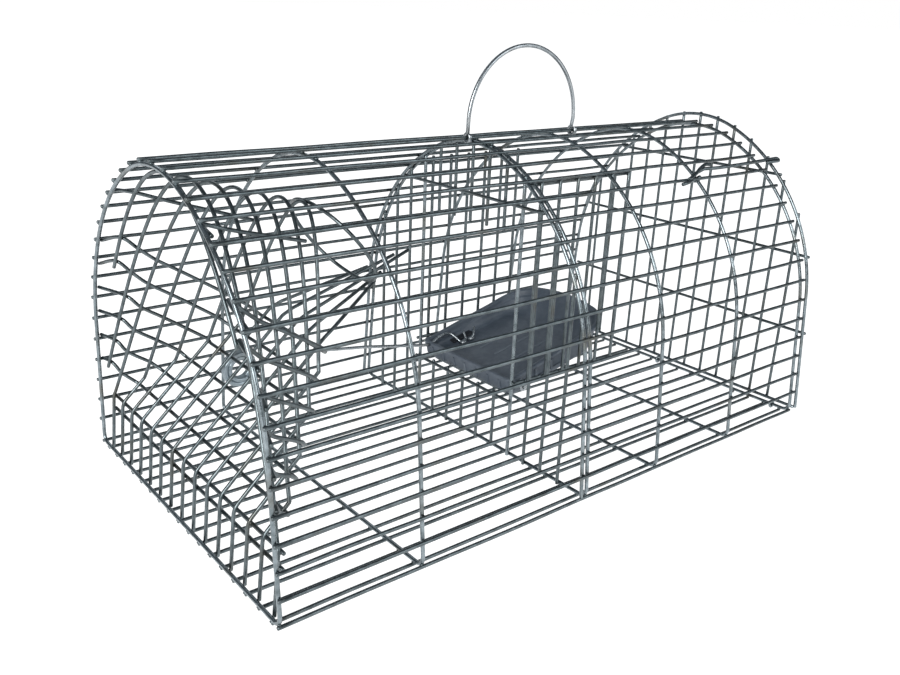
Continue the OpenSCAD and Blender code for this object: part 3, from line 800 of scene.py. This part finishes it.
def tray_outline():
    """Stations round the tray from the front's middle: ((x, y), inward normal)."""
    corner = 3.0
    l, w, r = TRAY_LENGTH, TRAY_HALF, TRAY_ROUND
    half = [((0, y), (1, 0)) for y in np.linspace(0, w - corner, 9)]
    half += [((corner - corner * cos(a), w - corner + corner * sin(a)), (cos(a), -sin(a)))
             for a in (15, 30, 45, 60, 75)]
    half += [((x, w), (0, -1)) for x in np.linspace(corner, l - r, 16)]
    half += [((l - r + r * sin(a), w - r + r * cos(a)), (-sin(a), -cos(a))) for a in range(6, 91, 6)]
    half += [((l, y), (-1, 0)) for y in np.linspace(w - r, 0, 4)[1:]]
    other = [((x, -y), (nx, -ny)) for (x, y), (nx, ny) in reversed(half[1:-1])]
    return half + other


def tray_flare(x, y):
    """How far back the wall leans for each mm of its height: only the rear flares, most in its middle."""
    flare = FLARE_SIDE + FLARE_MIDDLE * inwards(y)
    return flare * eased(x, TRAY_LENGTH * 0.5, TRAY_LENGTH * TRAY_CREST)


FOOT_EDGE = 1.2


def tray_profile(h, bead):
    """Section of the wall as (inward offset, height) from the outer floor edge to the inner floor."""
    wall = TRAY_WALL
    return [(1.2, 0.0), (0.35, 0.3), (0.0, FOOT_EDGE),
            (0.0, h - 2.6), (-0.75 * bead, h - 2.2), (-0.95 * bead, h - 1.0), (-0.5 * bead, h - 0.25),
            (0.5, h), (wall - 0.7, h), (wall - 0.1, h - 0.35), (wall, h - 1.0),
            (wall + 0.1, h - 3.4), (wall + 0.35, h - 3.9), (wall + 1.0, h - 4.2), (wall + 1.15, h - 4.8),
            (wall + 1.5, wall + 4.0), (wall + 1.9, wall + 1.9), (wall + 3.2, wall + 0.5), (wall + 5.4, wall)]


def tray():
    """The moulded tray, its ribs and a near-black block on the floor by the far wall, which paints the shade
    where the floor meets that wall.
    """
    bm = bmesh.new()
    grid = []
    for (x, y), (nx, ny) in tray_outline():
        bead = min(1.0, max(0.0, (x - 1.0) / 6))
        section = tray_profile(rim_height(x, y), bead)
        lean = tray_flare(x, y)
        grid.append([bm.verts.new(on_tray(x + nx * d + lean * max(0.0, z - FOOT_EDGE), y + ny * d, z) * MM)
                     for d, z in section])
    for a, b in zip(grid, grid[1:] + grid[:1]):
        for i in range(len(a) - 1):
            bm.faces.new((a[i], b[i], b[i + 1], a[i + 1])).smooth = True
    bm.faces.new([column[0] for column in grid])
    bm.faces.new([column[-1] for column in grid])
    piece("treadle_tray_moulded", bm, "treadle", tray_plastic, ["treadle_tray"])

    bm = bmesh.new()
    for side in (-1, 1):
        for x in (9, 22, 35, 47):
            block(bm, x, side * (TRAY_HALF + 0.3), 0.8, 0.9, 0.8, rim_height(x) - 2.4)
        block(bm, 26, side * (TRAY_HALF + 0.15), 24, 0.65, 0.4, 3.0)
    for y in range(-33, 34, 11):
        block(bm, -0.15, y, 0.5, 0.8, 0.8, TRAY_LOW - 2.6)
    for y in (-14, 0, 14):
        block(bm, 42, y, 17, 0.7, TRAY_WALL - 0.5, TRAY_WALL + 0.45)
    piece("treadle_tray_ribs", bm, "treadle", tray_plastic)

    # near-black block on the tray floor by the far wall: painted shade where the floor meets the wall
    bm = bmesh.new()
    block(bm, 26, 35.5, 8.5, 3.0, TRAY_WALL - 1.0, TRAY_WALL + 1.4, 0.2)
    piece("treadle_tray_painted_shade", bm, "treadle", slot_shadow)


def block(bm, x, y, half_x, half_y, low, high, bevel=0.35):
    """A bevelled block in the tray's frame, between two heights."""
    inset = [(low, bevel), (low + bevel, 0.0), (high - bevel, 0.0), (high, bevel)]
    rings = []
    for z, cut in inset:
        hx, hy = half_x - cut * 0.7, half_y - cut * 0.7
        corners = [(hx, hy - bevel), (hx - bevel, hy), (-hx + bevel, hy), (-hx, hy - bevel),
                   (-hx, -hy + bevel), (-hx + bevel, -hy), (hx - bevel, -hy), (hx, -hy + bevel)]
        rings.append([bm.verts.new(on_tray(x + a, y + b, z) * MM) for a, b in corners])
    for a, b in zip(rings, rings[1:]):
        for k in range(8):
            m = (k + 1) % 8
            bm.faces.new((a[k], a[m], b[m], b[k]))
    bm.faces.new(list(reversed(rings[0])))
    bm.faces.new(rings[-1])


WEIGHT_R = 11.0
WEIGHT_AT = middle("counterweight")
# where the arm's wire ends lie in the tray: (x, y, how far the leg reaches)
TRAY_EYES = [(20.3, 26.3, 4.5), (27.0, 26.0, 7.0)]


def arm():
    """Treadle arm from the tray's front to the coil, and the bent ends that hold it in the tray."""
    start = on_tray(0.2, TRAY_HALF - 6, 8)
    part_x = PIVOT.x - 6.1
    face = WEIGHT_AT + Vector((WEIGHT_R - 0.12, 0, 0))
    points = [start, start + Vector((-7, 1, 0.6)), start + Vector((-14, 5, 0.6)),
              Vector((part_x - 44, WEIGHT_AT.y - 9, PIVOT.z + 5)),
              Vector((part_x - 77, WEIGHT_AT.y - 1, WEIGHT_AT.z + 0.6)), face + Vector((14, 0, 0)),
              face - Vector((2.2, 0, 0))]
    bm = bmesh.new()
    tube(bm, rounded(points, 16.0, 6, 3.0), WIRE)
    piece("treadle_arm_bent", bm, "treadle", handle_zinc, ["treadle_arm"])

    bm = bmesh.new()
    inside = [on_tray(TRAY_WALL - 0.5, TRAY_HALF - 6, 8.6), on_tray(9, TRAY_HALF - 5.5, 10.0),
              on_tray(16, TRAY_HALF - 7, 10.0), on_tray(18.5, TRAY_HALF - 11, 7.0),
              on_tray(19.5, TRAY_HALF - 14, 4.4)]
    tube(bm, smooth(inside, 6), WIRE * 0.85)
    for x, y, reach in TRAY_EYES:
        eye = ring_path(on_tray(x, y, 4.4), on_tray(0, 0.35, 1) - on_tray(0, 0, 0), 1.9, 20)
        leg = [on_tray(x + 1.6, y + 0.8, 4.4), on_tray(x + 3.4, y + 1.2, 5.8),
               on_tray(x + reach, y + 4.0, 9.0)]
        tube(bm, eye, WIRE * 0.8, closed=True)
        tube(bm, smooth(leg, 5), WIRE * 0.8)
    piece("treadle_arm_eyes", bm, "treadle", handle_zinc)


def coil():
    """Counterweight: thick wire wound in two layers about the Y axis."""
    thick, turns = 3.0, 2.35
    bm = bmesh.new()
    for layer, radius in enumerate((WEIGHT_R - thick / 2, WEIGHT_R - thick * 1.42)):
        lead = 30 + 150 * layer
        count = round(turns * 30)
        path = []
        for i in range(count + 1):
            a = lead + 360 * turns * i / count
            y = (i / count - 0.5) * (7.0 - thick) * (1 if layer == 0 else -0.9)
            path.append(WEIGHT_AT + Vector((radius * cos(a), y, radius * sin(a))))
        tube(bm, path, thick, sides=14)
    piece("counterweight_coil", bm, "treadle", weight_zinc, ["counterweight"])


# ---------------------------------------------------------------- welds

def contact(a, b, diameter_a, diameter_b):
    """Where two straight wires touch and the direction between them, or None if they pass clear."""
    p, u = a[0], a[1] - a[0]
    q, v = b[0], b[1] - b[0]
    n = u.cross(v)
    if n.length < 1e-6:
        return None
    w = q - p
    s = w.cross(v).dot(n) / n.length_squared
    t = w.cross(u).dot(n) / n.length_squared
    if not (-0.02 <= s <= 1.02 and -0.02 <= t <= 1.02):
        return None
    pa, pb = p + u * s, q + v * t
    gap = pb - pa
    if gap.length > (diameter_a + diameter_b) / 2 + 0.05 or gap.length < 0.5:
        return None
    return pa + gap * (diameter_a / (diameter_a + diameter_b)), gap.normalized()


def weld_rods(bm, ones, others, diameter_a, diameter_b, rng):
    """Adds a nugget wherever a wire of one set touches a wire of the other."""
    for a in ones:
        for b in others:
            found = contact(a, b, diameter_a, diameter_b)
            if found:
                nugget(bm, *found, rng, 0.9)


def welds():
    """Weld nuggets where the hoops meet the lengthwise wires, and where the partition, guard, ramp and door
    wires cross, one piece for the cage and one for the door.
    """
    rng = random.Random(15)
    bm = bmesh.new()
    for x in HOOP_X:
        for i in range(SIDE_SPACES + 1):
            s = OUTLINE_LEN * i / SIDE_SPACES
            (y, z), a = outline_at(s, HOOP / 2 - BITE / 2), normal_at(s)
            for side in ((1, -1) if i else (1,)):
                nugget(bm, (x, side * y, FLOOR_Z + z), (0, side * cos(a), sin(a)), rng)
        for a, b in rods("floor_line_wires"):
            nugget(bm, (x, a.y, WIRE - BITE / 2), (0, 0, 1), rng)
    for one, two, diameter in (("partition_bars", "partition_uprights", WIRE),
                               ("partition_bars", "partition_posts", HOOP),
                               ("near_guard_rails", "near_guard_wires", WIRE),
                               ("far_guard_rails", "far_guard_wires", WIRE)):
        weld_rods(bm, rods(one), rods(two), WIRE, diameter, rng)
    for k in range(LAST_ARCH + 1):
        for side in (-1, 1):
            leg = (crease(k, side), Vector((KNEE_X, side * arch_y(k), FLOOR_Z + SILL)))
            post = (leg[1], Vector((MOUTH_X, leg[1].y, FLOOR_Z)))
            straights = [b for b in (leg, post) if (b[1] - b[0]).length > 1]
            weld_rods(bm, rods("funnel_ramp_wires"), straights, WIRE, WIRE, rng)
    piece("cage_weld_nuggets", bm, "cage", mesh_zinc)

    bm = bmesh.new()
    for b in rods("door_upright_wires"):
        weld_rods(bm, rods("door_cross_wires") + rods("door_rail"), [b], WIRE, WIRE, rng)
        y = b[0].y
        z = FLOOR_Z + DOOR_LIFT + rim_top(y)
        nugget(bm, (DOOR_X + HOOP / 2, y, z), (1, 0, 0), rng, 0.9)
        nugget(bm, (DOOR_X + HOOP / 2, y, b[0].z + OVERHANG), (1, 0, 0), rng, 0.9)
    piece("door_weld_nuggets", bm, "rear_door", mesh_zinc)


def rim_top(y):
    """Height of the door rim above the outline's base at a distance y from the middle."""
    if abs(y) < (TOP_R + DOOR_OVERLAP) * cos(SHOULDER):
        return TOP_Z + math.sqrt((TOP_R + DOOR_OVERLAP) ** 2 - y * y)
    return SIDE_Z + math.sqrt((SIDE_R + DOOR_OVERLAP) ** 2 - (abs(y) - SIDE_Y) ** 2)


# ---------------------------------------------------------------- studio

CAMERA_AT = Vector((-0.35864, -0.40215, 0.26088))
AZIMUTH, ELEVATION, ROLL = -39.64, 20.29, 2.395
FLOOR_R = 40
AIM = Vector((0, 0, 0.08))


def studio():
    """Camera at the photo's viewing angle, white backdrop, three soft lamps and a pale floor."""
    scene = bpy.context.scene
    scene.view_settings.view_transform = "Standard"
    data = bpy.data.cameras.new("photo_camera")
    data.lens, data.sensor_width = 36.04, 36.0
    data.clip_start, data.clip_end = 0.01, 100
    camera = bpy.data.objects.new("photo_camera", data)
    scene.collection.objects.link(camera)
    back = Vector((sin(AZIMUTH) * cos(ELEVATION), -cos(AZIMUTH) * cos(ELEVATION), sin(ELEVATION)))
    look = (-back).to_track_quat("-Z", "Y").to_matrix().to_4x4()
    camera.matrix_world = (Matrix.Translation(CAMERA_AT) @ look
                           @ Matrix.Rotation(math.radians(ROLL), 4, "Z"))
    scene.camera = camera

    world = bpy.data.worlds.new("studio_world")
    world.use_nodes = True
    scene.world = world
    tree = world.node_tree
    sky = tree.nodes["Background"]
    sky.inputs["Color"].default_value = (0.80, 0.90, 1.0, 1.0)
    sky.inputs["Strength"].default_value = 0.2
    white = tree.nodes.new("ShaderNodeBackground")
    white.inputs["Strength"].default_value = 1.0
    white.inputs["Color"].default_value = (1, 1, 1, 1)
    ray = tree.nodes.new("ShaderNodeLightPath")
    either = tree.nodes.new("ShaderNodeMixShader")
    tree.links.new(ray.outputs["Is Camera Ray"], either.inputs[0])
    tree.links.new(sky.outputs[0], either.inputs[1])
    tree.links.new(white.outputs[0], either.inputs[2])
    tree.links.new(either.outputs[0], tree.nodes["World Output"].inputs["Surface"])

    lamps = [("key", (-1.3, -0.75, 0.75), (1.0, 0.8), 26, (1.0, 0.99, 0.97)),
             ("side", (0.9, -1.6, 0.9), (1.2, 0.8), 12, (0.97, 0.99, 1.0)),
             ("back", (0.4, 1.5, 1.1), (1.4, 0.7), 4, (0.95, 0.98, 1.0))]
    for name, place, size, power, colour in lamps:
        light = bpy.data.lights.new(name, "AREA")
        light.shape, light.size, light.size_y = "RECTANGLE", *size
        light.energy, light.color = power, colour
        lamp = bpy.data.objects.new(name, light)
        lamp.location = place
        lamp.rotation_euler = (AIM - Vector(place)).to_track_quat("-Z", "Y").to_euler()
        scene.collection.objects.link(lamp)

    bm = bmesh.new()
    ring = [bm.verts.new((FLOOR_R * cos(a), FLOOR_R * sin(a), 0)) for a in range(0, 360, 10)]
    bm.faces.new(ring)
    mesh = bpy.data.meshes.new("studio_floor")
    bm.to_mesh(mesh)
    bm.free()
    mesh.materials.append(floor_paint("floor_paint"))
    floor = bpy.data.objects.new("studio_floor", mesh)
    scene.collection.objects.link(floor)


shell()
hoops()
funnel()
partition()
door()
latch()
handle()
tray()
arm()
coil()
welds()
# small CAD parts that are shown as they are
for kept, finish in (("pivot_eyes", handle_zinc), ("treadle_pins", handle_zinc),
                     ("door_hinge_rings", hoop_zinc)):
    frame["nodes"][kept].data.materials.clear()
    frame["nodes"][kept].data.materials.append(finish)
studio()
